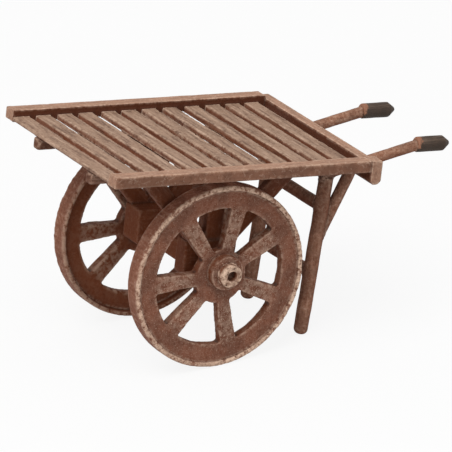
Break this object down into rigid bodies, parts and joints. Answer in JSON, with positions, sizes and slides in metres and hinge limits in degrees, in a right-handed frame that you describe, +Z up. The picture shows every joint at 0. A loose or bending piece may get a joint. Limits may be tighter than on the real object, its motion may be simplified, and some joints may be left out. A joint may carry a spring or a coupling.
{
  "type": "scale model of a two-wheeled wooden hand barrow",
  "caption": "Weathered scale model of a slatted flat-deck hand barrow, with spoked wheels that turn, rear legs and a pair of handles; stands on its wheels and legs.",
  "frame": {"origin": "on the ground, below the middle of the bounding box", "axes": "+X from the open front end of the deck towards the handles, +Y to the right of a person who pushes it, +Z up"},
  "size_m": [0.038, 0.021, 0.0219],
  "materials": {
    "weathered_boards": "matte grey-brown paint, drybrushed along the grain",
    "weathered_rails": "matte brown paint, drybrushed pale tan on the edges",
    "brown_frame": "matte brown paint with a dark wash",
    "dark_underframe": "matte dark red-brown paint",
    "charcoal_grips": "matte charcoal paint",
    "brown_wheels": "matte red-brown paint with pale speckle",
    "worn_tyres": "matte red-brown paint, rubbed pale pinkish tan on the outer edge",
    "worn_hub_rings": "matte paint, rubbed pale tan"
  },
  "bodies": {
    "barrow": {"deck_board_01": "weathered_boards", "deck_board_02": "weathered_boards", "deck_board_03": "weathered_boards", "deck_board_04": "weathered_boards", "deck_board_05": "weathered_boards", "deck_board_06": "weathered_boards", "deck_board_07": "weathered_boards", "deck_board_08": "weathered_boards", "deck_board_09": "weathered_boards", "deck_board_10": "weathered_boards", "deck_board_11": "weathered_boards", "deck_board_12": "weathered_boards", "side_rail_left": "weathered_rails", "side_rail_right": "weathered_rails", "rear_cross_beam": "weathered_rails", "bearer_left": "brown_frame", "bearer_right": "brown_frame", "handle_left": "brown_frame", "handle_right": "brown_frame", "leg_left": "brown_frame", "leg_right": "brown_frame", "leg_brace_left": "brown_frame", "leg_brace_right": "brown_frame", "upper_stretcher": "brown_frame", "lower_stretcher": "brown_frame", "axle": "dark_underframe", "axle_beam": "dark_underframe", "axle_block_left": "dark_underframe", "axle_block_right": "dark_underframe", "axle_post_left": "dark_underframe", "axle_post_right": "dark_underframe", "front_strut_left": "dark_underframe", "front_strut_right": "dark_underframe", "rear_strut_left": "dark_underframe", "rear_strut_right": "dark_underframe", "grip_left": "charcoal_grips", "grip_right": "charcoal_grips"},
    "wheel_left": {"tyre_left": "worn_tyres", "spoked_centre_left": "brown_wheels", "hub_left": "brown_wheels", "hub_ring_left": "worn_hub_rings"},
    "wheel_right": {"tyre_right": "worn_tyres", "spoked_centre_right": "brown_wheels", "hub_right": "brown_wheels", "hub_ring_right": "worn_hub_rings"}
  },
  "joints": [
    {"name": "wheel_left_spin", "type": "hinge", "parent": "barrow", "child": "wheel_left", "pos_m": [-0.00686, -0.008, 0.00875], "axis": [0, 1, 0], "continuous": true},
    {"name": "wheel_right_spin", "type": "hinge", "parent": "barrow", "child": "wheel_right", "pos_m": [-0.00686, 0.008, 0.00875], "axis": [0, 1, 0], "continuous": true}
  ]
}
